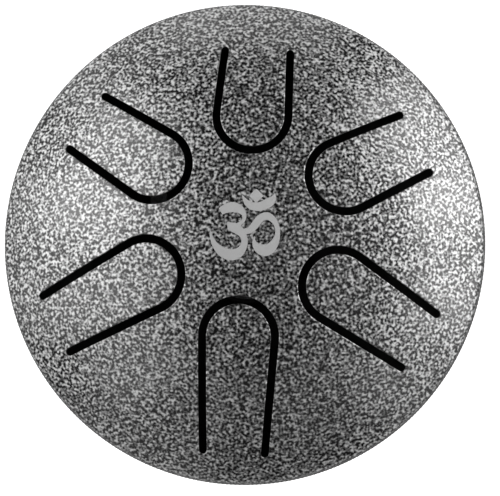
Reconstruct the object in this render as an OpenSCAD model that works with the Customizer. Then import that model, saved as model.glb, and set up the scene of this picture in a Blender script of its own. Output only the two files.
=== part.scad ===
// A small steel tongue drum: two pressed steel bowls welded together at the rim. Six tongues are
// cut in the upper bowl, each on three sides, and ring when they are struck. The lower bowl has a
// flat base with a sound hole and three rubber feet.
// Millimetres, +Z up. The origin is on the table, under the drum's axis.

/* [Bowls] */
// Outer diameter of both bowls at the rim
drum_d = 151; // [142:1:165]
// Thickness of the steel sheet
sheet_t = 1.5; // [1:0.1:2]
// Outer radius of the upper bowl's crown
crown_r = 130; // [110:1:180]
// Outer radius of the upper bowl's edge, where the crown turns down to the rim
edge_r = 3; // [2.5:0.5:6]
// Depth of the lower bowl's curved part
lower_h = 41; // [36:1:50]
// Outer radius of the lower bowl's side
side_r = 60; // [54:1:72]
// Outer radius of the turn from the lower bowl's side to its flat base
turn_r = 24; // [16:1:30]

/* [Rim weld] */
// Gap between the two rims, which the weld fills
weld_gap = 0.5; // [0.3:0.1:1]
// Height of the weld bead on the outside
bead_h = 2.6; // [2:0.1:4]
// How far the bead stands out of the bowls
bead_proud = 0.5; // [0.3:0.1:1]
// Straight band of each rim past the bead
band_spare = 0.2; // [0.1:0.1:1]

/* [Tongues] */
// Sideways place of the centre of the tongues' ring
ring_x = 1.75; // [-4:0.05:4]
// Fore and aft place of the centre of the tongues' ring
ring_y = 3.85; // [-2:0.05:6]
// Distance from the ring's centre to the centre of each tongue's round tip
tip_ring_r = 33.4; // [31:0.1:36]
// Radius of the slot's middle line round a tip
slot_line_r = 10.9; // [8:0.05:11.5]
// Width of the slot round a tongue
slot_w = 2.4; // [1.5:0.1:3]
// Distance from the rim to the longest tongue's root line
root_margin = 10.5; // [8:0.1:14]
// Angle by which each slot leans in towards the tongue's root
slot_lean = 2.25; // [0:0.25:4]
// Angle by which the ring of tongues is turned about its centre
pattern_turn = -3.5; // [-10:0.5:10]
// Gap at a tongue's root, where the sheet bends
root_gap = 0.1; // [0.06:0.02:0.2]

/* [Centre sign] */
// Width of the sign on the crown
sign_w = 21.3; // [14:0.1:24]
// Thickness of the sign's foil
sign_t = 0.15; // [0.1:0.05:0.4]
// Thickness of the glue between the foil and the crown
sign_glue = 0.03; // [0.02:0.01:0.1]
// Sideways place of the sign's centre from the ring's centre
sign_x = 0.2; // [-2:0.1:2]
// Fore and aft place of the sign's centre from the ring's centre
sign_y = 0; // [-2:0.1:2]

/* [Sound hole] */
// Radius of the sound hole
hole_r = 17; // [12:0.5:20]
// Height of the lip that is turned in round the hole, from the base's outer face
lip_h = 6; // [5:0.5:8]
// Inner radius of the lip's bend
lip_bend_r = 1; // [0.5:0.1:2]

/* [Feet] */
// Height of a foot
foot_h = 6.5; // [5:0.5:9]
// Radius of a foot where it meets the base
foot_top_r = 8; // [7:0.5:10]
// Radius of a foot at the table
foot_low_r = 7; // [6:0.5:9]
// Bevel round a foot's lower edge
foot_bevel = 0.8; // [0.4:0.1:1.2]
// Distance from a foot to the edge of the flat base
foot_margin = 3.2; // [1:0.1:5]
// Thickness of the rubber between the washer and the base
foot_web = 3; // [2:0.1:4]

/* [Foot fixings] */
// Diameter of the screw
screw_d = 3; // [2.5:0.5:4]
// Length of the screw under its head
screw_len = 8; // [7:0.5:10]
// Diameter of the screw's head
head_d = 5.6; // [5:0.1:6.4]
// Height of the screw's head
head_h = 1.8; // [1.4:0.1:2.2]
// Length of the cross cut in the head
cross_len = 3.2; // [2:0.1:3.8]
// Width of the cross cut in the head
cross_w = 0.8; // [0.5:0.1:1]
// Depth of the cross cut in the head
cross_depth = 1.1; // [0.6:0.1:1.3]
// Outer diameter of the washer
washer_d = 7; // [6.6:0.1:8]
// Thickness of the washer
washer_t = 0.5; // [0.4:0.1:1]
// Width of the nut across its flats
nut_flats = 5.5; // [5:0.1:7]
// Height of the nut
nut_h = 2.4; // [2:0.1:3]
// Gap all round the screw in the foot, the washer and the base
screw_gap = 0.1; // [0.05:0.05:0.3]
// Gap between the screw's thread and the nut, taken at the pitch line
thread_gap = 0.03; // [0.01:0.01:0.1]
// Gap all round the washer in the foot
washer_gap = 0.25; // [0.1:0.05:0.5]

/* [Hidden] */
$fn = 96;

// Tongues from the lowest note to the highest: the first is nearest the player, and the rest
// follow left and right in turn. The angles are about the ring's centre, from +X.
tongue_angle = [-90, -150, -30, 150, 30, 90];
// Length of each tongue's slots from the tip's centre to the root line, as a share of the longest
arm_share = [1, 0.92, 0.83, 0.735, 0.675, 0.59];
foot_angle = [-90, 30, 150];

// How far a cutting shape runs past what it cuts
overrun = 1;
// How far one smooth outline bites into the next where they would only touch
bite = 0.02;

// Rim
drum_r = drum_d / 2;
rim_band = bead_h / 2 + band_spare;
bead_r = (pow(bead_h / 2, 2) + pow(bead_proud, 2)) / (2 * bead_proud);

// Heights above the table
base_z = foot_h;
lower_rim_z = base_z + lower_h + rim_band;
upper_rim_z = lower_rim_z + weld_gap;
edge_z = upper_rim_z + rim_band;

// Upper bowl: the crown runs on into its edge where the line through their centres meets them
edge_x = drum_r - edge_r;
crown_drop = sqrt(pow(crown_r - edge_r, 2) - pow(edge_x, 2)) + bite;
crown_z = edge_z - crown_drop;
crown_angle = asin(edge_x / (crown_r - edge_r));
top_z = crown_z + crown_r;

// The longest tongue's root line, measured from its tip's centre
longest_root = drum_r + ring_y - root_margin - tip_ring_r;

// Lower bowl: depths are from its rim down
side_x = drum_r - side_r;
base_y = rim_band + lower_h;
side_angle = asin((lower_h - turn_r) / (side_r - turn_r));
flat_r = side_x + (side_r - turn_r) * cos(side_angle);
lip_r = lip_bend_r + sheet_t;

// Feet
foot_ring_r = flat_r - foot_margin - foot_top_r;
washer_z = foot_h - foot_web - washer_t;
head_z = washer_z - head_h;
screw_hole_r = screw_d / 2 + screw_gap;
nut_z = base_z + sheet_t;

// The sign's strokes. Each point is [x, y, width], as shares of the sign's width from its centre.
upper_lobe_share = [
    [-0.347, 0.177, 0.104], [-0.276, 0.215, 0.125], [-0.184, 0.237, 0.145], [-0.085, 0.21, 0.12],
    [-0.02, 0.137, 0.07], [-0.022, 0.058, 0.05], [-0.08, -0.002, 0.06], [-0.13, -0.04, 0.1]
];
lower_lobe_share = [
    [-0.25, 0.03, 0.01], [-0.196, -0.03, 0.12], [-0.104, -0.078, 0.135], [-0.036, -0.15, 0.1],
    [-0.01, -0.235, 0.09], [-0.034, -0.332, 0.105], [-0.1, -0.405, 0.14], [-0.188, -0.43, 0.16],
    [-0.28, -0.41, 0.15], [-0.355, -0.362, 0.125], [-0.42, -0.292, 0.085], [-0.461, -0.211, 0.055],
    [-0.483, -0.142, 0.032], [-0.494, -0.074, 0.01]
];
tail_share = [
    [-0.036, -0.106, 0.07], [0.064, -0.086, 0.095], [0.14, -0.009, 0.11], [0.204, 0.072, 0.11],
    [0.3, 0.111, 0.107], [0.391, 0.056, 0.085], [0.443, -0.045, 0.068], [0.447, -0.162, 0.075],
    [0.403, -0.272, 0.115], [0.331, -0.352, 0.155], [0.248, -0.367, 0.16], [0.168, -0.324, 0.12],
    [0.122, -0.247, 0.05], [0.132, -0.17, 0.01]
];
crescent_share = [
    [-0.044, 0.403, 0.015], [0.008, 0.314, 0.07], [0.076, 0.258, 0.105], [0.164, 0.24, 0.12],
    [0.256, 0.26, 0.13], [0.339, 0.306, 0.13], [0.395, 0.367, 0.075], [0.411, 0.432, 0.01]
];
dot_share = [0.152, 0.396];
dot_half_share = 0.104;
dot_corner_share = 0.009;
// Steps between two points of a stroke
stroke_steps = 4;

// A stroke's line is a smooth curve through its points: between gives the point that is a share t
// of the way from b to c, where a comes before b and d comes after c
function between(a, b, c, d, t) =
    (2 * b + (c - a) * t + (2 * a - 5 * b + 4 * c - d) * t * t + (3 * b - a - 3 * c + d) * t * t * t) / 2;
function held(list, i) = list[max(0, min(len(list) - 1, i))];
function smooth(list) = concat(
    [for (i = [0:len(list) - 2], s = [0:stroke_steps - 1])
        between(held(list, i - 1), list[i], list[i + 1], held(list, i + 2), s / stroke_steps)],
    [list[len(list) - 1]]
);

// The two edges of a stroke stand off its line by half its width
function square_off(way) = [-way[1], way[0]] / norm([way[0], way[1]]);
function edge(line, i, side) =
    [line[i][0], line[i][1]] + side * line[i][2] / 2 * square_off(held(line, i + 1) - held(line, i - 1));

// Arms of a slot, in a frame with the tip's centre at zero and the root along +X
function arm_side(side) = [sin(slot_lean), side * cos(slot_lean)];
function arm_way(side) = [cos(slot_lean), -side * sin(slot_lean)];
function arm_to(x, r) = (x - r * sin(slot_lean)) / cos(slot_lean);
function arm_end(x, r, side) = r * arm_side(side) + arm_to(x, r) * arm_way(side);
function root_x(k) =
    slot_line_r * sin(slot_lean) + arm_to(longest_root, slot_line_r) * arm_share[k] * cos(slot_lean);

// Upper bowl as a filled half section, drawn in from the outside by inset, with its rim on X
module upper_section(inset) {
    square([drum_r - inset, rim_band]);
    intersection() {
        translate([0, rim_band]) square([drum_r, crown_r]);
        union() {
            translate([edge_x, rim_band]) circle(edge_r - inset);
            intersection() {
                translate([0, rim_band - crown_drop]) circle(crown_r - inset, $fn = 360);
                square([(crown_r - inset) * sin(crown_angle), crown_r]);
            }
        }
    }
}

// Lower bowl as a filled half section, with its rim on X and its depth along +Y
module lower_section(inset) {
    square([drum_r - inset, rim_band]);
    square([flat_r, base_y - inset]);
    intersection() {
        translate([0, rim_band]) square([drum_r, base_y]);
        union() {
            translate([flat_r, base_y - turn_r]) circle(turn_r - inset + bite);
            intersection() {
                translate([side_x, rim_band]) circle(side_r - inset, $fn = 180);
                square([drum_r, rim_band + (side_r - inset) * sin(side_angle)]);
            }
        }
    }
}

// Half section of the lip that is turned in round the sound hole
module lip_section() {
    translate([hole_r + lip_r, base_y - lip_r]) intersection() {
        difference() {
            circle(lip_r);
            circle(lip_bend_r);
        }
        translate([-lip_r, 0]) square(lip_r);
    }
    translate([hole_r, base_y - lip_h]) square([sheet_t, lip_h - lip_r]);
}

// What opens a bowl's half section at its rim
module rim_opening() {
    translate([0, -overrun]) square([drum_r - sheet_t, overrun]);
}

// The upper bowl's sheet with no tongues cut
module dome_sheet() {
    translate([0, 0, upper_rim_z]) rotate_extrude($fn = 180) difference() {
        upper_section(0);
        upper_section(sheet_t);
        rim_opening();
    }
}

// Outline of a tongue whose edge is r from its tip's centre, cut off at x
module tongue_outline(r, x) {
    near = r - bite;
    union() {
        circle(r);
        polygon([near * arm_side(-1), arm_end(x, near, -1), arm_end(x, near, 1), near * arm_side(1)]);
    }
}

// Stands a flat shape up through the crown at tongue k's place
module through_crown(k) {
    translate([ring_x, ring_y, upper_rim_z - overrun]) rotate(tongue_angle[k] + pattern_turn)
        translate([tip_ring_r, 0, 0]) linear_extrude(top_z - upper_rim_z + 2 * overrun) children();
}

module top_shell() {
    color("dimgray") difference() {
        dome_sheet();
        for (k = [0:5]) through_crown(k) {
            tongue_outline(slot_line_r + slot_w / 2, root_x(k) + root_gap / 2);
            for (side = [-1, 1]) translate(arm_end(root_x(k), slot_line_r, side)) circle(slot_w / 2);
        }
    }
}

module tongue(k) {
    color("gray") intersection() {
        dome_sheet();
        through_crown(k) tongue_outline(slot_line_r - slot_w / 2, root_x(k) - root_gap / 2);
    }
}

module stroke(shares) {
    line = smooth(shares);
    last = len(line) - 1;
    polygon(sign_w * concat(
        [for (i = [0:last]) edge(line, i, 1)],
        [for (i = [0:last]) edge(line, last - i, -1)]
    ));
}

// Dot of the sign: a square on its corner, with cut corners
module dot() {
    far = dot_half_share;
    near = dot_corner_share;
    translate(sign_w * dot_share) polygon(sign_w * [
        [far - near, -near], [far - near, near], [near, far - near], [-near, far - near],
        [near - far, near], [near - far, -near], [-near, near - far], [near, near - far]
    ]);
}

// The sign is a thin foil that is glued to the crown
module centre_sign() {
    under_r = crown_r + sign_glue;
    color("silver") translate([0, 0, crown_z]) difference() {
        intersection() {
            sphere(under_r + sign_t, $fn = 360);
            translate([ring_x + sign_x, ring_y + sign_y, crown_r / 2]) linear_extrude(crown_r) {
                stroke(upper_lobe_share);
                stroke(lower_lobe_share);
                stroke(tail_share);
                stroke(crescent_share);
                dot();
            }
        }
        sphere(under_r, $fn = 360);
    }
}

module rim_weld() {
    color("gray") translate([0, 0, lower_rim_z + weld_gap / 2]) rotate_extrude($fn = 180) {
        translate([drum_r - sheet_t, -weld_gap / 2]) square([sheet_t, weld_gap]);
        intersection() {
            translate([drum_r + bead_proud - bead_r, 0]) circle(bead_r);
            translate([drum_r, -bead_h / 2]) square([bead_proud, bead_h]);
        }
    }
}

module bottom_shell() {
    color("dimgray") difference() {
        translate([0, 0, lower_rim_z]) mirror([0, 0, 1]) rotate_extrude($fn = 180) {
            difference() {
                lower_section(0);
                lower_section(sheet_t);
                rim_opening();
                square([hole_r + lip_r, base_y + overrun]);
            }
            lip_section();
        }
        for (k = [0:2]) at_foot(k) translate([0, 0, base_z - overrun])
            cylinder(r = screw_hole_r, h = sheet_t + 2 * overrun);
    }
}

module at_foot(k) {
    rotate(foot_angle[k]) translate([foot_ring_r, 0, 0]) children();
}

module rubber_foot(k) {
    recess_r = washer_d / 2 + washer_gap;
    recess_h = foot_h - foot_web;
    color("black") at_foot(k) rotate_extrude() polygon([
        [recess_r, 0], [foot_low_r - foot_bevel, 0], [foot_low_r, foot_bevel], [foot_top_r, foot_h],
        [screw_hole_r, foot_h], [screw_hole_r, recess_h], [recess_r, recess_h]
    ]);
}

module foot_washer(k) {
    color("lightgray") at_foot(k) translate([0, 0, washer_z]) difference() {
        cylinder(d = washer_d, h = washer_t);
        translate([0, 0, -overrun]) cylinder(r = screw_hole_r, h = washer_t + 2 * overrun);
    }
}

module foot_screw(k) {
    color("silver") at_foot(k) translate([0, 0, head_z]) {
        translate([0, 0, head_h]) cylinder(d = screw_d, h = screw_len);
        difference() {
            cylinder(d = head_d, h = head_h);
            for (turn = [0, 90]) rotate(turn) translate([-cross_len / 2, -cross_w / 2, -overrun])
                cube([cross_len, cross_w, cross_depth + overrun]);
        }
    }
}

module foot_nut(k) {
    color("lightgray") at_foot(k) translate([0, 0, nut_z]) difference() {
        cylinder(d = nut_flats / cos(30), h = nut_h, $fn = 6);
        translate([0, 0, -overrun]) cylinder(r = screw_d / 2 + thread_gap, h = nut_h + 2 * overrun);
    }
}

top_shell();
for (k = [0:5]) tongue(k);
centre_sign();
rim_weld();
bottom_shell();
for (k = [0:2]) {
    rubber_foot(k);
    foot_washer(k);
    foot_screw(k);
    foot_nut(k);
}
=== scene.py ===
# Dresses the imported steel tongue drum: finely made skins over the solids, procedural finishes,
# a white studio and the photograph's camera. Sizes are in millimetres until a mesh is made.
import math

import bmesh
import bpy
import numpy as np
from mathutils import Matrix, Vector
from mathutils.geometry import delaunay_2d_cdt


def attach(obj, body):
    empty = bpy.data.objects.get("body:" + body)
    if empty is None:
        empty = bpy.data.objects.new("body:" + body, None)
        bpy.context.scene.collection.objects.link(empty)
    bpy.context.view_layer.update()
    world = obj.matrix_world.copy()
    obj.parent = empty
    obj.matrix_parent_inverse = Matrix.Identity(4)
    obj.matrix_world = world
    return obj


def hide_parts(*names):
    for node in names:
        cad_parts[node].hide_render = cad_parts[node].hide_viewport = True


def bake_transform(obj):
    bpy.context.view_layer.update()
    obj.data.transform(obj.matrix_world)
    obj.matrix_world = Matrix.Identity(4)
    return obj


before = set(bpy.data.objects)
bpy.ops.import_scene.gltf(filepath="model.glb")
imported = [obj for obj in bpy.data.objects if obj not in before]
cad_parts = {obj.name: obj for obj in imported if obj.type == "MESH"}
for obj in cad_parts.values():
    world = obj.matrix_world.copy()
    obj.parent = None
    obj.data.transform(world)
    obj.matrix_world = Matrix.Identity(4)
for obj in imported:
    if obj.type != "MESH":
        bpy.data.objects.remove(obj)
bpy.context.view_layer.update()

MM = 0.001

# Sizes, as in the part's source
DRUM_R = 75.5
SHEET_T = 1.5
CROWN_R = 130
RIM_R = 3
LOWER_H = 41
SIDE_R = 60
TURN_R = 24
WELD_GAP = 0.5
BEAD_H = 2.6
BEAD_PROUD = 0.5
BAND_SPARE = 0.2
TONGUE_RING = (1.75, 3.85)
TIP_RING_R = 33.4
SLOT_LINE_R = 10.9
SLOT_W = 2.4
ROOT_MARGIN = 10.5
SLOT_LEAN = math.radians(2.25)
PATTERN_TURN = -3.5
TONGUE_ANGLE = [-90, -150, -30, 150, 30, 90]
ARM_SHARE = [1, 0.92, 0.83, 0.735, 0.675, 0.59]
HOLE_R = 17
LIP_H = 6
LIP_BEND_R = 1
FOOT_H = 6.5
FOOT_TOP_R = 8
FOOT_LOW_R = 7
FOOT_BEVEL = 0.8
FOOT_MARGIN = 3.2
FOOT_WEB = 3
FOOT_ANGLE = [-90, 30, 150]
SCREW_D = 3
SCREW_LEN = 8
HEAD_D = 5.6
HEAD_H = 1.8
CROSS_LEN = 3.2
CROSS_W = 0.8
CROSS_DEPTH = 1.1
WASHER_D = 7
WASHER_T = 0.5
SCREW_GAP = 0.1
WASHER_GAP = 0.25
BITE = 0.02

# Places worked out from them
RIM_BAND = BEAD_H / 2 + BAND_SPARE
LOWER_RIM_Z = FOOT_H + LOWER_H + RIM_BAND
UPPER_RIM_Z = LOWER_RIM_Z + WELD_GAP
SEAM_Z = (LOWER_RIM_Z + UPPER_RIM_Z) / 2
LONGEST_ROOT = DRUM_R + TONGUE_RING[1] - ROOT_MARGIN - TIP_RING_R
LONGEST_ARM = (LONGEST_ROOT - SLOT_LINE_R * math.sin(SLOT_LEAN)) / math.cos(SLOT_LEAN)
INNER_R = DRUM_R - SHEET_T
RIM_X = DRUM_R - RIM_R
RIM_Z = UPPER_RIM_Z + RIM_BAND
CROWN_Z = RIM_Z - math.sqrt((CROWN_R - RIM_R) ** 2 - RIM_X ** 2) - BITE
CROWN_END = math.degrees(math.acos(RIM_X / (CROWN_R - RIM_R)))
SIDE_X = DRUM_R - SIDE_R
SIDE_Z = FOOT_H + LOWER_H
SIDE_ANGLE = math.asin((LOWER_H - TURN_R) / (SIDE_R - TURN_R))
FLAT_R = SIDE_X + (SIDE_R - TURN_R) * math.cos(SIDE_ANGLE)
FOOT_RING_R = FLAT_R - FOOT_MARGIN - FOOT_TOP_R
SCREW_HOLE_R = SCREW_D / 2 + SCREW_GAP
WASHER_Z = FOOT_H - FOOT_WEB - WASHER_T
HEAD_Z = WASHER_Z - HEAD_H

# Details that the solids leave plain: rounded edges, the weld's ripples, the screw's head and thread
EDGE_R = 0.3
HOLE_EDGE_R = 0.2
LIP_EDGE_R = 0.5
BEVEL_LOW_R = 0.4
BEVEL_HIGH_R = 0.6
RIPPLES = 360
RIPPLE_LAG = 0.35
RIPPLE_DEPTH = 0.12
HEAD_EDGE_R = 0.9
THREAD_PITCH = 0.5
THREAD_DEPTH = 0.15
THREAD_TILT = 0.6
SHAFT_BEVEL = 0.3
# The foot's section starts and ends in its hole, this far below its top
SECTION_START = 0.6

# How finely the skins are made: lengths between points, and steps round each bend
EDGE_STEP = 0.8
ROOT_STEP = 1.2
BOWL_GRID = 2.4
TONGUE_GRID = 1.8
HEAD_GRID = 0.5
EDGE_STEPS = 4
SLOT_END_STEPS = 12
CROWN_STEPS = 6
RIM_STEPS = 12
SIDE_STEPS = 16
TURN_STEPS = 24
LIP_STEPS = 10
LIP_INNER_STEPS = 8
LIP_EDGE_STEPS = 6
HEAD_EDGE_STEPS = 6
THREAD_STEPS = 6
RIPPLE_STEPS = 5
BEAD_STEPS = 10
# Steps round a whole turn
DRUM_STEPS = 288
HOLE_STEPS = 32
FOOT_STEPS = 96
SCREW_STEPS = 48
# The dome is turned outside this radius, and filled with triangles inside it
DOME_SPLIT_R = 69
# A grid point stays this share of the grid's step away from an edge
EDGE_CLEAR_SHARE = 0.45
# Triangles of less area are left out
SLIVER_AREA = 1e-4
# Points that are nearer to each other are one: in plan, and in a mesh, in metres
SAME_PLAN = 1e-7
SAME_POINT = 1e-6
# Less than this is nothing
TINY = 1e-9

# The paints of a bowl's or tongue's skin, in the order of its materials. The inside's near black is partly
# black paint, partly painted shade
COATED, CUT_EDGE, INSIDE = 0, 1, 2


class Skin:
    """Gathers patches of a mesh. Each patch has its own points and normals; close() joins them."""

    def __init__(self):
        self.points, self.normals, self.faces, self.paints = [], [], [], []
        self.count = 0

    def add(self, points, normals):
        """Adds a patch's points. Returns their numbers."""
        points = np.asarray(points, float).reshape(-1, 3)
        normals = np.asarray(normals, float).reshape(-1, 3)
        self.points.append(points)
        self.normals.append(normals / np.linalg.norm(normals, axis=1)[:, None])
        self.count += len(points)
        return np.arange(self.count - len(points), self.count)

    def face(self, ids, paint=0):
        """One face, by the numbers of its points."""
        self.faces.append([int(i) for i in ids])
        self.paints.append(paint)

    def strip(self, a, b, paint=0, closed=False):
        """Quads between two rows of points."""
        n = len(a)
        for i in range(n if closed else n - 1):
            j = (i + 1) % n
            self.face((a[i], a[j], b[j], b[i]), paint)

    def close(self, name, materials):
        """Makes the mesh: turns each face to its normals, joins the patches' shared points."""
        points, normals = np.concatenate(self.points), np.concatenate(self.normals)
        faces = []
        for ids in self.faces:
            corners = points[ids]
            way = np.cross(corners - corners.mean(0), np.roll(corners, -1, 0) - corners.mean(0)).sum(0)
            faces.append(ids if way @ normals[ids].sum(0) >= 0 else ids[::-1])
        mesh = bpy.data.meshes.new(name)
        mesh.from_pydata((points * MM).tolist(), [], faces)
        for material in materials:
            mesh.materials.append(material)
        mesh.polygons.foreach_set("material_index", self.paints)
        mesh.polygons.foreach_set("use_smooth", [True] * len(faces))
        held = mesh.attributes.new("held_normal", "FLOAT_VECTOR", "CORNER")
        held.data.foreach_set("vector", normals[np.concatenate(faces)].astype(np.float32).ravel())
        shape = bmesh.new()
        shape.from_mesh(mesh)
        bmesh.ops.remove_doubles(shape, verts=shape.verts, dist=SAME_POINT)
        shape.to_mesh(mesh)
        shape.free()
        found = np.zeros(len(mesh.loops) * 3, np.float32)
        mesh.attributes["held_normal"].data.foreach_get("vector", found)
        mesh.attributes.remove(mesh.attributes["held_normal"])
        mesh.normals_split_custom_set(found.reshape(-1, 3).tolist())
        piece = bpy.data.objects.new(name, mesh)
        bpy.context.scene.collection.objects.link(piece)
        return piece


def circle(steps):
    """Points of a circle of radius 1, which are also the ways out of it."""
    turn = np.arange(steps) * 2 * math.pi / steps
    return np.stack([np.cos(turn), np.sin(turn)], 1)


def ring(skin, ways, r, z, out, up, middle=(0, 0)):
    """Adds a level ring of points, with normals that go out and up. Each can have its own r and up."""
    r, z, up = (np.broadcast_to(value, len(ways)) for value in (r, z, up))
    places = np.column_stack([np.array(middle) + ways * r[:, None], z])
    return skin.add(places, np.column_stack([ways * out, up]))


def lathe(skin, patches, middle=(0, 0), steps=DRUM_STEPS):
    """Turns half sections round an upright axis. A patch is a paint and rows of (r, z, out, up)."""
    ways = circle(steps)
    for paint, rows in patches:
        rings = []
        for r, z, out, up in rows:
            if r < TINY:
                rings.append(skin.add([[*middle, z]], [[0, 0, up]]).repeat(steps))
            else:
                rings.append(ring(skin, ways, r, z, out, up, middle))
        for a, b in zip(rings, rings[1:]):
            for i in range(steps):
                j = (i + 1) % steps
                skin.face(list(dict.fromkeys((a[i], a[j], b[j], b[i]))), paint)


def bend(x, z, radius, start, end, steps, inner=False):
    """Rows along an arc of a half section, from start to end in degrees. Normals point out of it, or in."""
    sign = -1 if inner else 1
    rows = []
    for a in np.radians(np.linspace(start, end, steps + 1)):
        c, s = math.cos(a), math.sin(a)
        rows.append((x + radius * c, z + radius * s, sign * c, sign * s))
    return rows


def rounded_section(corners):
    """Rows round an open section: corners are (r, z, rounding radius). The solid is on the left."""
    at = [np.array(corner[:2], float) for corner in corners]
    ways = [(end - start) / np.linalg.norm(end - start) for start, end in zip(at, at[1:])]
    normals = [np.array([way[1], -way[0]]) for way in ways]
    rows = [(*at[0], *normals[0])]
    for i in range(1, len(at) - 1):
        radius = corners[i][2]
        back, on = -ways[i - 1], ways[i]
        half = math.acos(back @ on) / 2
        start = at[i] + back * radius / math.tan(half)
        centre = at[i] + (back + on) / np.linalg.norm(back + on) * radius / math.sin(half)
        sign = 1 if normals[i - 1] @ (start - centre) > 0 else -1
        for share in np.linspace(0, 1, EDGE_STEPS + 1):
            normal = normals[i - 1] * (1 - share) + normals[i] * share
            normal = normal / np.linalg.norm(normal)
            rows.append((*(centre + sign * radius * normal), *normal))
    rows.append((*at[-1], *normals[-1]))
    return rows


def run(a, b, step=EDGE_STEP):
    """Points from a to b, about step apart."""
    a, b = np.asarray(a, float), np.asarray(b, float)
    n = max(1, math.ceil(np.linalg.norm(b - a) / step))
    return a + (b - a) * np.linspace(0, 1, n + 1)[:, None]


def inside(points, loop):
    """Which plan points lie inside a loop."""
    x, y = points[:, 0][:, None], points[:, 1][:, None]
    a, b = loop, np.roll(loop, -1, 0)
    crosses = (a[:, 1] > y) != (b[:, 1] > y)
    with np.errstate(divide="ignore", invalid="ignore"):
        at = a[:, 0] + (y - a[:, 1]) * (b[:, 0] - a[:, 0]) / (b[:, 1] - a[:, 1])
    return ((crosses & (x < at)).sum(1) % 2) == 1


def on_sheet(points, hull, holes):
    """Which plan points lie inside the hull and outside all holes."""
    keep = inside(points, hull)
    for hole in holes:
        keep &= ~inside(points, hole)
    return keep


def side_gap(points, loop):
    """How far each plan point is from the nearest side of a loop."""
    way = np.roll(loop, -1, 0) - loop
    squared = np.maximum((way ** 2).sum(1), TINY)
    gaps = []
    for point in points:
        share = np.clip(((point - loop) * way).sum(1) / squared, 0, 1)
        gaps.append(np.hypot(*(loop + way * share[:, None] - point).T).min())
    return np.array(gaps)


def fill(hull, holes, grid):
    """Fills the plan inside a hull and outside holes. Returns points, and triangles of their numbers."""
    loops = [hull, *holes]
    low, high = hull.min(0), hull.max(0)
    rows = []
    for i, y in enumerate(np.arange(low[1], high[1], grid * math.sqrt(3) / 2)):
        x = np.arange(low[0] + (i % 2) * grid / 2, high[0], grid)
        rows.append(np.stack([x, np.full_like(x, y)], 1))
    inner = np.concatenate(rows)
    inner = inner[on_sheet(inner, hull, holes)]
    gap = np.min([side_gap(inner, loop) for loop in loops], axis=0)
    points = np.concatenate([*loops, inner[gap > grid * EDGE_CLEAR_SHARE]])
    bars, first = [], 0
    for loop in loops:
        n = len(loop)
        bars += [(first + i, first + (i + 1) % n) for i in range(n)]
        first += n
    made = delaunay_2d_cdt([Vector(p) for p in points], bars, [], 0, SAME_PLAN)
    where = np.array([tuple(v) for v in made[0]])
    tris = np.array(made[2])
    a, b, c = (where[tris[:, i]] for i in range(3))
    area = abs((b - a)[:, 0] * (c - a)[:, 1] - (b - a)[:, 1] * (c - a)[:, 0]) / 2
    # The points of a straight side can make slivers of no area outside it
    return where, tris[on_sheet(where[tris].mean(1), hull, holes) & (area > SLIVER_AREA)]


def dome(r, inset):
    """Height and slope of the upper bowl's crown, inset from the outside, at distance r from the axis."""
    crown = np.sqrt((CROWN_R - inset) ** 2 - r * r)
    return CROWN_Z + crown, -r / crown


def dome_side(inset):
    """A function that gives heights and slopes in plan of the dome's outer or inner face."""
    def face(plan):
        r = np.hypot(plan[:, 0], plan[:, 1])
        z, slope = dome(r, inset)
        return z, plan * (slope / np.maximum(r, TINY))[:, None]
    return face


def flat_side(z):
    """The same for a flat face."""
    def face(plan):
        return np.full(len(plan), float(z)), np.zeros_like(plan)
    return face


def upright(plan, side, up):
    """Places and normals of plan points on a face that looks up or down."""
    z, slope = side(plan)
    normals = np.column_stack([-up * slope, np.full(len(plan), float(up))])
    return np.column_stack([plan, z]), normals


def sheet_fill(skin, hull, holes, top, bottom, paints, grid):
    """The two faces of a sheet, each with its paint."""
    where, tris = fill(hull, holes, grid)
    for side, up, paint in ((top, 1, paints[0]), (bottom, -1, paints[1])):
        ids = skin.add(*upright(where, side, up))
        for tri in tris:
            skin.face(ids[tri], paint)


def sheet_edge(skin, loop, out, top, bottom, paints, closed, radius=EDGE_R):
    """The rounded cut edge of a sheet: loop is its plan, out points away from the sheet.
    Returns the rows of point numbers, from the top face to the bottom face."""
    rows = []
    turns = np.radians(np.linspace(90, 0, EDGE_STEPS + 1))
    for side, up, order in ((top, 1, turns), (bottom, -1, turns[::-1])):
        for t in order:
            plan = loop - out * radius * (1 - math.cos(t))
            z, slope = side(plan)
            place = np.column_stack([plan, z - up * radius * (1 - math.sin(t))])
            normal = np.column_stack([-up * slope * math.sin(t) + out * math.cos(t),
                                      np.full(len(plan), up * math.sin(t))])
            rows.append(skin.add(place, normal))
    # The upright wall and the last step of each rounding beside it have the middle paint
    shares = (EDGE_STEPS - 1, 3, EDGE_STEPS - 1)
    for a, b, paint in zip(rows, rows[1:], np.repeat(paints, shares)):
        skin.strip(a, b, int(paint), closed)
    return rows


# A tongue's plan in its own frame: the tip's centre at the origin, the root toward +X

def arm_side(side):
    """The way out of the tongue across a slot's arm. Side is 1 for the arm at +Y, and -1 for the other."""
    return np.array([math.sin(SLOT_LEAN), side * math.cos(SLOT_LEAN)])


def arm_way(side):
    """The way along a slot's arm to the root."""
    return np.array([math.cos(SLOT_LEAN), -side * math.sin(SLOT_LEAN)])


def arm_end(x, r, side):
    """Where an arm's line at distance r from the tip's centre reaches x."""
    return r * arm_side(side) + (x - r * math.sin(SLOT_LEAN)) / math.cos(SLOT_LEAN) * arm_way(side)


def root_x(k):
    """Where tongue k's root line is."""
    return SLOT_LINE_R * math.sin(SLOT_LEAN) + LONGEST_ARM * ARM_SHARE[k] * math.cos(SLOT_LEAN)


def aimed(ways, k):
    """Directions of tongue k's own frame, as the drum has them."""
    a = math.radians(TONGUE_ANGLE[k] + PATTERN_TURN)
    return ways @ np.array([[math.cos(a), math.sin(a)], [-math.sin(a), math.cos(a)]])


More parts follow.
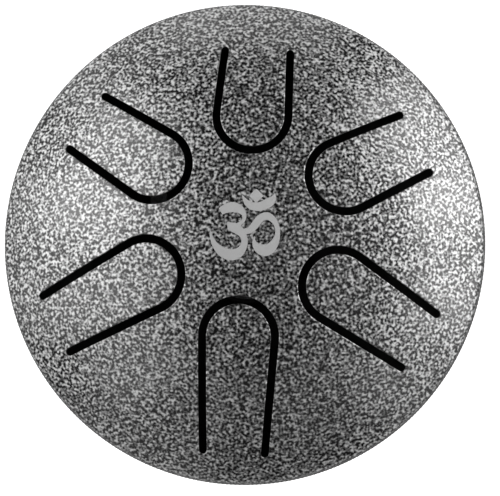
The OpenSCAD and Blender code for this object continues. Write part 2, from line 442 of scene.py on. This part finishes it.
def placed(points, k):
    """Plan points of tongue k's own frame, put in place."""
    return aimed(points + np.array([TIP_RING_R, 0]), k) + np.array(TONGUE_RING)


def u_line(k, r):
    """A U at distance r from the tip's centre, from the root on one side to the root on the other.
    Returns its points and the ways out of it."""
    half = math.pi / 2 - SLOT_LEAN
    arc = np.linspace(half, 2 * math.pi - half, math.ceil(math.pi * r / EDGE_STEP) + 1)
    around = np.stack([np.cos(arc), np.sin(arc)], 1)
    first = run(arm_end(root_x(k), r, 1), r * arm_side(1))
    last = run(r * arm_side(-1), arm_end(root_x(k), r, -1))
    points = np.concatenate([first[:-1], around * r, last[1:]])
    ways = np.concatenate([np.tile(arm_side(1), (len(first) - 1, 1)), around,
                           np.tile(arm_side(-1), (len(last) - 1, 1))])
    return points, ways


def tongue_edge(k):
    """The tongue's own edge. At its corners it faces along the root line."""
    points, ways = u_line(k, SLOT_LINE_R - SLOT_W / 2)
    ways[0], ways[-1] = (0, 1), (0, -1)
    return points, ways


def window_edge(k):
    """The dome's edge round a tongue's slot, with the slot's round ends."""
    points, ways = u_line(k, SLOT_LINE_R + SLOT_W / 2)
    turn = np.linspace(0, math.pi, SLOT_END_STEPS + 1)[:, None]
    ends, end_ways = [], []
    for side in (1, -1):
        way = np.cos(turn) * arm_side(side) - np.sin(turn) * arm_way(side)
        end = arm_end(root_x(k), SLOT_LINE_R, side) - way * SLOT_W / 2
        # It starts at the tongue's corner, where both edges face along the root line
        end[0] = arm_end(root_x(k), SLOT_LINE_R - SLOT_W / 2, side)
        way[0] = (0, side)
        ends.append(end)
        end_ways.append(way)
    points = np.concatenate([ends[0], points[1:-1], ends[1][::-1]])
    ways = np.concatenate([end_ways[0], -ways[1:-1], end_ways[1][::-1]])
    return points, ways


def root_line(k):
    """Points of the root line between the two rounded edges, from the -Y side to the +Y side."""
    y = arm_end(root_x(k), SLOT_LINE_R - SLOT_W / 2, 1)[1] - EDGE_R
    return run((root_x(k), -y), (root_x(k), y), ROOT_STEP)[1:-1]


def cap(skin, rows, line, top, bottom, way):
    """Closes a sheet at a root line. It lies inside the steel and is never seen."""
    start = [row[0] for row in rows]
    end = [row[-1] for row in rows]
    points = np.concatenate(skin.points)
    half = len(rows) // 2
    upper, lower = upright(line, top, 1)[0], upright(line, bottom, -1)[0]
    outline = np.concatenate([points[start[:half]][::-1], upper[::-1], points[end], lower,
                              points[start[half:]][::-1]])
    skin.face(skin.add(outline, np.tile([*way, 0], (len(outline), 1))), INSIDE)


def slot_side(skin, k, edge, way):
    """Makes a sheet's edge along tongue k's slot, and closes the sheet at the root line, where way points out
    of it. Returns the outline of the sheet's faces there."""
    loop, out = edge(k)
    loop, out = placed(loop, k), aimed(out, k)
    top, bottom = dome_side(0), dome_side(SHEET_T)
    rows = sheet_edge(skin, loop, out, top, bottom, (COATED, CUT_EDGE, INSIDE), False)
    line = placed(root_line(k), k)
    cap(skin, rows, line, top, bottom, aimed(np.array(way), k))
    return np.concatenate([loop - out * EDGE_R, line])


# Finishes

# The speckle's grain, and the unevenness of the whole coat: sizes and depths
GRAIN_MM, GRAIN_DEPTH_MM = 0.88, 0.004
SWELL_MM, SWELL_DEPTH_MM = 2.6, 0.05
# A silver vein rises from the black over this part of the grain's noise. Its tone is this power of its rise,
# and it is fully metallic from this share of it
VEIN_NOISE = (0.37, 0.68)
VEIN_POWER = 1.5
METAL_SHARE = 0.5
COAT_BLACK = 0.003
# Distances from the seam between which the silver comes back. Nearer the seam the coat is painted darker:
# partly a dark weld line, partly painted shade on the rim
SEAM_SHADE_FADE_MM = (2.2, 3.6)
# A plain finish's roughness goes up and down by this much, over this part of its grain's noise
ROUGH_CHANGE = 0.05
ROUGH_NOISE = (0.3, 0.7)
# Its tone's clouds are this many times larger than its grain
CLOUD_PER_GRAIN = 14


def node_material(name):
    """A new material, its tree, its shader and the place on the object."""
    material = bpy.data.materials.new(name)
    material.use_nodes = True
    tree = material.node_tree
    shader = tree.nodes["Principled BSDF"]
    place = tree.nodes.new("ShaderNodeTexCoord").outputs["Object"]
    return material, tree, shader, place


def joined(tree, kind, inputs=(), **settings):
    """A new node with its settings and inputs; an input is a value or another node's output."""
    node = tree.nodes.new(kind)
    for key, value in settings.items():
        setattr(node, key, value)
    for key, value in dict(inputs).items():
        if isinstance(value, bpy.types.NodeSocket):
            tree.links.new(value, node.inputs[key])
        else:
            node.inputs[key].default_value = value
    return node


def worked_out(tree, operation, *values):
    """The result of an operation on one or two values."""
    return joined(tree, "ShaderNodeMath", enumerate(values), operation=operation).outputs[0]


def noise(tree, place, size_mm, detail=0.0, roughness=0.5):
    """Noise of a grain's size."""
    return joined(tree, "ShaderNodeTexNoise", {
        "Vector": place, "Scale": 1 / (size_mm * MM), "Detail": detail,
        "Roughness": roughness}).outputs["Fac"]


def spread(tree, value, span, low=0.0, high=1.0, form="LINEAR"):
    """A value's rise over a span, as a rise from low to high."""
    return joined(tree, "ShaderNodeMapRange", {
        "Value": value, "From Min": span[0], "From Max": span[1], "To Min": low, "To Max": high},
        interpolation_type=form).outputs["Result"]


def mixed(tree, share, a, b):
    """A colour between a and b."""
    return joined(tree, "ShaderNodeMix", {0: share, 6: a, 7: b}, data_type="RGBA").outputs[2]


def bumped(tree, height, depth_mm, normal=None):
    """A normal that follows small heights, over another bump's normal if one is given."""
    inputs = {"Height": height, "Distance": depth_mm * MM, "Strength": 1.0}
    if normal is not None:
        inputs["Normal"] = normal
    return joined(tree, "ShaderNodeBump", inputs).outputs["Normal"]


def grey(value):
    """A plain grey, with full alpha."""
    return (value, value, value, 1)


def speckle_coat(name, silver, metal, gloss, rough, silver_left_in_seam_shade):
    """Powder coat: a fine net of dull silver on a glossier black. Silver is the net's grey and metal says how
    metallic it is, rough is the black's and the silver's roughness, and the last argument is the share of the
    silver that is left at the seam, where the darker coat is partly a dark weld line and partly painted
    shade."""
    material, tree, shader, place = node_material(name)
    height = joined(tree, "ShaderNodeSeparateXYZ", {0: place}).outputs["Z"]
    off_seam = worked_out(tree, "ABSOLUTE", worked_out(tree, "SUBTRACT", height, SEAM_Z * MM))
    # The silver fades out near the seam: painted shade on the rim, and a dark weld line at the seam itself
    outside_seam_shade = spread(tree, off_seam, [mm * MM for mm in SEAM_SHADE_FADE_MM], silver_left_in_seam_shade)
    vein = spread(tree, noise(tree, place, GRAIN_MM, detail=1.0, roughness=0.35), VEIN_NOISE)
    vein = worked_out(tree, "MULTIPLY", vein, outside_seam_shade)
    tone = worked_out(tree, "POWER", vein, VEIN_POWER)
    tree.links.new(mixed(tree, tone, grey(COAT_BLACK), grey(silver)), shader.inputs["Base Color"])
    tree.links.new(spread(tree, vein, (0, METAL_SHARE), 0.0, metal), shader.inputs["Metallic"])
    tree.links.new(spread(tree, vein, (0, 1), *rough), shader.inputs["Roughness"])
    swell = bumped(tree, noise(tree, place, SWELL_MM, detail=2.0), SWELL_DEPTH_MM)
    tree.links.new(bumped(tree, vein, GRAIN_DEPTH_MM, swell), shader.inputs["Normal"])
    shader.inputs["Specular IOR Level"].default_value = gloss
    return material


def plain_finish(name, colour, roughness, grain_mm, depth_mm, metallic=0.0, uneven=0.08):
    """A plain finish with a fine grain: a little unevenness in tone and gloss, and some bump."""
    material, tree, shader, place = node_material(name)
    grain = noise(tree, place, grain_mm, detail=3.0, roughness=0.6)
    cloud = noise(tree, place, grain_mm * CLOUD_PER_GRAIN, detail=2.0)
    low = tuple(c * (1 - uneven) for c in colour)
    high = tuple(c * (1 + uneven) for c in colour)
    rough = spread(tree, grain, ROUGH_NOISE, roughness - ROUGH_CHANGE, roughness + ROUGH_CHANGE)
    tree.links.new(mixed(tree, cloud, (*low, 1), (*high, 1)), shader.inputs["Base Color"])
    tree.links.new(rough, shader.inputs["Roughness"])
    tree.links.new(bumped(tree, grain, depth_mm), shader.inputs["Normal"])
    shader.inputs["Metallic"].default_value = metallic
    return material


COAT = speckle_coat("speckle_coat", silver=0.64, metal=0.9, gloss=0.65, rough=(0.22, 0.57), silver_left_in_seam_shade=0.2)
# The weld bead's coat is dark and dull: partly a dark weld, partly painted shade on the rim
SEAM_COAT_AND_SHADE = speckle_coat("seam_coat_and_painted_shade", silver=0.16, metal=0.4, gloss=0.3, rough=(0.5, 0.6), silver_left_in_seam_shade=0.9)
CUT = plain_finish("coated_cut", (0.02, 0.02, 0.02), roughness=0.5, grain_mm=0.6, depth_mm=0.02)
# Near-black inside of the bowls and tongues: partly black paint, partly painted shade, so that the slots show
# black
DARK_INSIDE_AND_SHADE = plain_finish("dark_inside_painted_shade", (0.012, 0.012, 0.012), roughness=0.7, grain_mm=0.8, depth_mm=0.03)
SIGN = plain_finish("sign_grey", (0.4, 0.4, 0.4), roughness=0.6, grain_mm=0.3, depth_mm=0.004, uneven=0.02)
RUBBER = plain_finish("rubber", (0.022, 0.022, 0.022), roughness=0.75, grain_mm=0.4, depth_mm=0.03)
ZINC = plain_finish("zinc_steel", (0.62, 0.62, 0.63), roughness=0.32, grain_mm=0.3, depth_mm=0.004,
                    metallic=1.0)


# Pieces

def settle(piece, node):
    """A piece that takes a fixed node's place."""
    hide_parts(node)
    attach(piece, "drum_shell")


def make_dome():
    """The upper bowl: filled round the slots, turned outside them."""
    skin = Skin()
    windows = [slot_side(skin, k, window_edge, (-1.0, 0)) for k in range(6)]
    sheet_fill(skin, DOME_SPLIT_R * circle(DRUM_STEPS), windows, dome_side(0), dome_side(SHEET_T),
               (COATED, INSIDE), BOWL_GRID)
    sides = []
    for inset, inner in ((0, False), (SHEET_T, True)):
        start = math.degrees(math.acos(DOME_SPLIT_R / (CROWN_R - inset)))
        sides.append(bend(0, CROWN_Z, CROWN_R - inset, start, CROWN_END, CROWN_STEPS, inner)
                     + bend(RIM_X, RIM_Z, RIM_R - inset, CROWN_END, 0, RIM_STEPS, inner)[1:])
    lathe(skin, [
        (COATED, sides[0] + [(DRUM_R, UPPER_RIM_Z, 1, 0)]),
        (CUT_EDGE, [(DRUM_R, UPPER_RIM_Z, 0, -1), (INNER_R, UPPER_RIM_Z, 0, -1)]),
        (INSIDE, sides[1] + [(INNER_R, UPPER_RIM_Z, -1, 0)]),
    ])
    settle(skin.close("dome_skin", (COAT, CUT, DARK_INSIDE_AND_SHADE)), "top_shell")


def make_tongue(k):
    """A tongue's skin, in place of its solid."""
    skin = Skin()
    outline = slot_side(skin, k, tongue_edge, (1.0, 0))
    sheet_fill(skin, outline, [], dome_side(0), dome_side(SHEET_T), (COATED, INSIDE), TONGUE_GRID)
    body = "tongue_%d" % (k + 1)
    piece = skin.close("tongue_skin_%d" % (k + 1), (COAT, CUT, DARK_INSIDE_AND_SHADE))
    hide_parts(body)
    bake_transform(piece)


def make_weld():
    """The weld bead: overlapping ripples along the seam, and the ring of steel between the bowls."""
    skin = Skin()
    outer, inner = 0, 1
    steps = RIPPLES * RIPPLE_STEPS
    ways = circle(steps)
    bead_r = ((BEAD_H / 2) ** 2 + BEAD_PROUD ** 2) / (2 * BEAD_PROUD)
    half = math.asin(BEAD_H / 2 / bead_r)
    rows = []
    for a in np.linspace(-half, half, BEAD_STEPS + 1):
        across = (a / half) ** 2
        phase = (np.arange(steps) / RIPPLE_STEPS + RIPPLE_LAG * across) % 1
        dip = RIPPLE_DEPTH * (1 - across) * phase
        r = DRUM_R + BEAD_PROUD - bead_r + bead_r * math.cos(a) - dip
        rows.append(ring(skin, ways, r, SEAM_Z + bead_r * math.sin(a), math.cos(a), math.sin(a)))
    for a, b in zip(rows, rows[1:]):
        skin.strip(a, b, outer, True)
    section = [(DRUM_R, SEAM_Z + BEAD_H / 2), (DRUM_R, UPPER_RIM_Z), (INNER_R, UPPER_RIM_Z),
               (INNER_R, LOWER_RIM_Z), (DRUM_R, LOWER_RIM_Z), (DRUM_R, SEAM_Z - BEAD_H / 2)]
    normals = [(-1, 0), (0, 1), (-1, 0), (0, -1), (-1, 0)]
    for start, end, normal in zip(section, section[1:], normals):
        skin.strip(ring(skin, ways, *start, *normal), ring(skin, ways, *end, *normal), inner, True)
    # The bead's dark coat is partly painted shade on the rim
    settle(skin.close("weld_bead", (SEAM_COAT_AND_SHADE, DARK_INSIDE_AND_SHADE)), "rim_weld")


def foot_middle(k):
    """Where foot k's axis is, in plan."""
    a = math.radians(FOOT_ANGLE[k])
    return FOOT_RING_R * np.array([math.cos(a), math.sin(a)])


def make_base():
    """The lower bowl, with its turned-in lip and the screw holes."""
    skin = Skin()
    top, bottom = flat_side(FOOT_H + SHEET_T), flat_side(FOOT_H)
    lip_r = LIP_BEND_R + SHEET_T
    lip_x, lip_z = HOLE_R + lip_r, FOOT_H + lip_r
    holes = [lip_x * circle(DRUM_STEPS)]
    ways = circle(HOLE_STEPS)
    for k in range(3):
        loop = foot_middle(k) + ways * SCREW_HOLE_R
        sheet_edge(skin, loop, -ways, top, bottom, (INSIDE, CUT_EDGE, COATED), True, HOLE_EDGE_R)
        holes.append(loop + ways * HOLE_EDGE_R)
    sheet_fill(skin, FLAT_R * circle(DRUM_STEPS), holes, top, bottom, (INSIDE, COATED), BOWL_GRID)
    side = math.degrees(SIDE_ANGLE)
    turn_z = FOOT_H + TURN_R
    edge_z = FOOT_H + LIP_H - LIP_EDGE_R
    lathe(skin, [
        (COATED, bend(FLAT_R, turn_z, TURN_R, -90, -side, TURN_STEPS)
         + bend(SIDE_X, SIDE_Z, SIDE_R, -side, 0, SIDE_STEPS)[1:] + [(DRUM_R, LOWER_RIM_Z, 1, 0)]),
        (CUT_EDGE, [(DRUM_R, LOWER_RIM_Z, 0, 1), (INNER_R, LOWER_RIM_Z, 0, 1)]),
        (INSIDE, [(INNER_R, LOWER_RIM_Z, -1, 0)]
         + bend(SIDE_X, SIDE_Z, SIDE_R - SHEET_T, 0, -side, SIDE_STEPS, True)
         + bend(FLAT_R, turn_z, TURN_R - SHEET_T, -side, -90, TURN_STEPS, True)[1:]),
        (COATED, bend(lip_x, lip_z, lip_r, 270, 180, LIP_STEPS) + [(HOLE_R, edge_z, -1, 0)]),
        (CUT_EDGE, bend(HOLE_R + LIP_EDGE_R, edge_z, LIP_EDGE_R, 180, 90, LIP_EDGE_STEPS)
         + bend(HOLE_R + SHEET_T - LIP_EDGE_R, edge_z, LIP_EDGE_R, 90, 0, LIP_EDGE_STEPS)[1:]),
        (INSIDE, [(HOLE_R + SHEET_T, edge_z, 1, 0)]
         + bend(lip_x, lip_z, LIP_BEND_R, 180, 270, LIP_INNER_STEPS, True)),
    ])
    settle(skin.close("base_bowl", (COAT, CUT, DARK_INSIDE_AND_SHADE)), "bottom_shell")


def make_foot(k):
    """A rubber foot: a tapered pad with a recess for the washer and the screw's head."""
    skin = Skin()
    recess_r, recess_h = WASHER_D / 2 + WASHER_GAP, FOOT_H - FOOT_WEB
    start = (SCREW_HOLE_R, FOOT_H - SECTION_START, 0)
    rows = rounded_section([
        start, (SCREW_HOLE_R, recess_h, HOLE_EDGE_R), (recess_r, recess_h, EDGE_R), (recess_r, 0, EDGE_R),
        (FOOT_LOW_R - FOOT_BEVEL, 0, BEVEL_LOW_R), (FOOT_LOW_R, FOOT_BEVEL, BEVEL_HIGH_R),
        (FOOT_TOP_R, FOOT_H, EDGE_R), (SCREW_HOLE_R, FOOT_H, HOLE_EDGE_R), start])
    lathe(skin, [(0, rows)], foot_middle(k), FOOT_STEPS)
    settle(skin.close("foot_pad_%d" % (k + 1), (RUBBER,)), "rubber_foot_%d" % (k + 1))


def screw_face(skin, middle, radius):
    """The flat of the head, which looks down, with its cross recess."""
    a, b = CROSS_LEN / 2, CROSS_W / 2
    cross = middle + np.array([(a, -b), (a, b), (b, b), (b, a), (-b, a), (-b, b), (-a, b), (-a, -b),
                               (-b, -b), (-b, -a), (b, -a), (b, -b)])
    where, tris = fill(middle + circle(SCREW_STEPS) * radius, [cross], HEAD_GRID)
    ids = skin.add(*upright(where, flat_side(HEAD_Z), -1))
    for tri in tris:
        skin.face(ids[tri])
    floor_z = HEAD_Z + CROSS_DEPTH
    for p, q in zip(cross, np.roll(cross, -1, 0)):
        wall = [[*p, HEAD_Z], [*q, HEAD_Z], [*q, floor_z], [*p, floor_z]]
        skin.face(skin.add(wall, np.tile([p[1] - q[1], q[0] - p[0], 0], (4, 1))))
    base = skin.add(*upright(cross, flat_side(floor_z), -1))
    for part in ((0, 1, 2, 11), (2, 3, 4, 5), (5, 6, 7, 8), (8, 9, 10, 11), (2, 5, 8, 11)):
        skin.face(base[list(part)])


def screw_thread(skin, middle, low, high):
    """A helical ridge on the shaft, which fades in below the head and out before the tip."""
    rings = []
    ways = circle(SCREW_STEPS)
    for z in np.append(np.arange(low, high, THREAD_PITCH / THREAD_STEPS), high):
        along = ((z - low) / THREAD_PITCH - np.arange(SCREW_STEPS) / SCREW_STEPS) % 1
        fade = max(0, min(1, (z - low) / THREAD_PITCH, (high - z) / SHAFT_BEVEL))
        r = SCREW_D / 2 - THREAD_DEPTH * np.abs(2 * along - 1) * fade
        tilt = np.where(along < 0.5, 1, -1) * THREAD_TILT * fade
        rings.append(ring(skin, ways, r, z, 1, tilt, middle))
    for a, b in zip(rings, rings[1:]):
        skin.strip(a, b, closed=True)


def make_screw(k):
    """A pan-head screw, seen from below: domed head, cross recess, threaded shaft."""
    skin = Skin()
    middle = foot_middle(k)
    head_r, shaft_r = HEAD_D / 2, SCREW_D / 2
    under_z = HEAD_Z + HEAD_H
    end_z = under_z + SCREW_LEN
    bevel_z, end_r = end_z - SHAFT_BEVEL, shaft_r - SHAFT_BEVEL
    screw_face(skin, middle, head_r - HEAD_EDGE_R)
    lathe(skin, [
        (0, bend(head_r - HEAD_EDGE_R, HEAD_Z + HEAD_EDGE_R, HEAD_EDGE_R, -90, 0, HEAD_EDGE_STEPS)
         + [(head_r, under_z, 1, 0)]),
        (0, [(head_r, under_z, 0, 1), (shaft_r, under_z, 0, 1)]),
    ], middle, SCREW_STEPS)
    screw_thread(skin, middle, under_z, bevel_z)
    lathe(skin, [
        (0, [(shaft_r, bevel_z, 1, 1), (end_r, end_z, 1, 1)]),
        (0, [(end_r, end_z, 0, 1), (0, end_z, 0, 1)]),
    ], middle, SCREW_STEPS)
    settle(skin.close("pan_screw_%d" % (k + 1), (ZINC,)), "foot_screw_%d" % (k + 1))


def dress(node, material):
    """A CAD node that stays as it is gets its own finish."""
    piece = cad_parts[node]
    piece.data.materials.clear()
    piece.data.materials.append(material)


make_dome()
for k in range(6):
    make_tongue(k)
make_weld()
make_base()
for k in range(3):
    make_foot(k)
    make_screw(k)
    dress("foot_washer_%d" % (k + 1), ZINC)
    dress("foot_nut_%d" % (k + 1), ZINC)
dress("centre_sign", SIGN)


# Studio, in metres

# The backdrop is white up to the first of these heights of a unit direction, and dark from the second
BACKDROP_RISE = (-0.02, 0.12)
ROOM_GREY = 0.03
FLOOR_HALF = 4.0
FLOOR_GREY = 0.55
FLOOR_ROUGH = 0.9
# The floor glows white to the camera and in gloss. The glow rises between these distances from the drum's
# axis: to NEAR_GLOW beside the drum, and to the camera by the rest far away, so that no horizon shows.
# Where the glow fades, round and under the drum, the dark is a painted shadow; in gloss it spreads wider
NEAR_GLOW = 0.9
CAMERA_GLOW_PAST_PAINTED_SHADOW = (0.03, 0.075)
GLOSS_GLOW_PAST_PAINTED_SHADOW = (0.1, 0.8)
FAR_FLOOR = (0.4, 1.5)

LAMP_AWAY = 1.2
LAMP_WIDE = 0.85
LAMP_HIGH = 0.6
LAMP_AIM = (0, 0, 0.06)
# Each lamp's name, azimuth, elevation and power in watts. Azimuth 0 is +X and 90 is +Y, the photograph's up
LAMPS = [
    ("right", 0, 25, 5.20),
    ("right_back", 30, 25, 6.50),
    ("right_front", 330, 25, 1.45),
    ("right_high", 0, 55, 0.50),
    ("left_high", 180, 55, 2.10),
    ("left_back_high", 150, 40, 4.90),
    ("left_back", 150, 25, 1.30),
    ("left", 180, 25, 2.50),
    ("left_front", 210, 40, 1.70),
    ("front_left", 240, 40, 0.40),
    ("front_left_low", 240, 10, 0.65),
    ("front_right", 300, 40, 0.45),
    ("back", 90, 10, 1.95),
    ("back_left", 120, 10, 1.20),
]

# The photograph's camera: its lens and sensor in millimetres, how far it is from the seam's centre, its tilt
# in radians to the right and to the back, and how far right of and below the seam's centre it looks
LENS = 102.56
SENSOR = 36
CAMERA_AWAY = 0.45
CAMERA_TILT = (0.0491, -0.0627)
LOOK_RIGHT = 0.00212
LOOK_DOWN = 0.00169
CLIP = (0.01, 20)


def soft_box(name, azimuth, elevation, watts):
    """A soft box that looks at the drum, and that the camera doesn't see."""
    lamp = bpy.data.lights.new(name, "AREA")
    lamp.shape = "RECTANGLE"
    lamp.size, lamp.size_y, lamp.energy = LAMP_WIDE, LAMP_HIGH, watts
    box = bpy.data.objects.new(name, lamp)
    a, e = math.radians(azimuth), math.radians(elevation)
    box.location = Vector((math.cos(a) * math.cos(e), math.sin(a) * math.cos(e), math.sin(e))) * LAMP_AWAY
    box.rotation_mode = "QUATERNION"
    box.rotation_quaternion = (Vector(LAMP_AIM) - box.location).to_track_quat("-Z", "Y")
    box.visible_camera = False
    bpy.context.scene.collection.objects.link(box)


def in_gloss(tree, path):
    """Says whether a ray comes by way of gloss or through glass."""
    return worked_out(tree, "MAXIMUM", path.outputs["Is Glossy Ray"], path.outputs["Is Transmission Ray"])


def light_studio():
    """Lamps in a dim room, with a white backdrop that shows to the camera, in gloss and through glass."""
    for lamp in LAMPS:
        soft_box(*lamp)
    world = bpy.data.worlds.new("studio")
    world.use_nodes = True
    bpy.context.scene.world = world
    tree = world.node_tree
    path = tree.nodes.new("ShaderNodeLightPath")
    way = tree.nodes.new("ShaderNodeTexCoord").outputs["Generated"]
    rise = joined(tree, "ShaderNodeSeparateXYZ", {0: way}).outputs["Z"]
    backdrop = spread(tree, rise, BACKDROP_RISE, 1.0, 0.0)
    to_gloss = worked_out(tree, "MULTIPLY", in_gloss(tree, path), backdrop)
    seen = worked_out(tree, "MAXIMUM", path.outputs["Is Camera Ray"], to_gloss)
    room = tree.nodes["Background"]
    room.inputs["Color"].default_value = grey(ROOM_GREY)
    room.inputs["Strength"].default_value = 1
    white = joined(tree, "ShaderNodeBackground", {"Color": grey(1), "Strength": 1.0})
    both = joined(tree, "ShaderNodeMixShader", {0: seen, 1: room.outputs[0], 2: white.outputs[0]})
    tree.links.new(both.outputs[0], tree.nodes["World Output"].inputs["Surface"])


def make_floor():
    """A pale floor that shows white to the camera and keeps a faint shadow, with a painted shadow round the
    drum.
    """
    mesh = bpy.data.meshes.new("floor")
    corners = [(FLOOR_HALF * x, FLOOR_HALF * y, 0) for x, y in ((-1, -1), (1, -1), (1, 1), (-1, 1))]
    mesh.from_pydata(corners, [], [(0, 1, 2, 3)])
    floor = bpy.data.objects.new("floor", mesh)
    bpy.context.scene.collection.objects.link(floor)
    material, tree, shader, place = node_material("floor")
    shader.inputs["Base Color"].default_value = grey(FLOOR_GREY)
    shader.inputs["Roughness"].default_value = FLOOR_ROUGH
    path = tree.nodes.new("ShaderNodeLightPath")
    away = joined(tree, "ShaderNodeVectorMath", {0: place}, operation="LENGTH").outputs["Value"]
    # Toward the drum's axis the glow fades: a painted shadow under the drum, to the camera and, wider, in
    # gloss
    near = spread(tree, away, CAMERA_GLOW_PAST_PAINTED_SHADOW, high=NEAR_GLOW, form="SMOOTHSTEP")
    far = spread(tree, away, FAR_FLOOR, high=1 - NEAR_GLOW, form="SMOOTHSTEP")
    glossy = spread(tree, away, GLOSS_GLOW_PAST_PAINTED_SHADOW, high=NEAR_GLOW, form="SMOOTHSTEP")
    floor_past_painted_shadow = worked_out(tree, "ADD", near, far)
    to_camera = worked_out(tree, "MULTIPLY", path.outputs["Is Camera Ray"], floor_past_painted_shadow)
    to_gloss = worked_out(tree, "MULTIPLY", in_gloss(tree, path), glossy)
    glow = worked_out(tree, "MAXIMUM", to_camera, to_gloss)
    light = joined(tree, "ShaderNodeEmission", {"Color": grey(1), "Strength": glow})
    lit = joined(tree, "ShaderNodeAddShader", {0: shader.outputs[0], 1: light.outputs[0]})
    tree.links.new(lit.outputs[0], tree.nodes["Material Output"].inputs["Surface"])
    mesh.materials.append(material)


def make_camera():
    """The photograph's view, fitted to the rim's circle and the slots."""
    lens = bpy.data.cameras.new("camera")
    lens.sensor_width, lens.lens = SENSOR, LENS
    lens.clip_start, lens.clip_end = CLIP
    camera = bpy.data.objects.new("camera", lens)
    bpy.context.scene.collection.objects.link(camera)
    seam = Vector((0, 0, SEAM_Z * MM))
    back = Vector((math.sin(CAMERA_TILT[0]), math.sin(CAMERA_TILT[1]), 1)).normalized()
    right = Vector((0, 1, 0)).cross(back).normalized()
    up = back.cross(right)
    camera.location = seam + back * CAMERA_AWAY
    look = seam + right * LOOK_RIGHT - up * LOOK_DOWN
    way = (look - camera.location).normalized()
    side = way.cross(up).normalized()
    camera.rotation_mode = "QUATERNION"
    camera.rotation_quaternion = Matrix((side, side.cross(way), -way)).transposed().to_quaternion()
    bpy.context.scene.camera = camera


light_studio()
make_floor()
make_camera()
bpy.context.scene.view_settings.view_transform = "Standard"
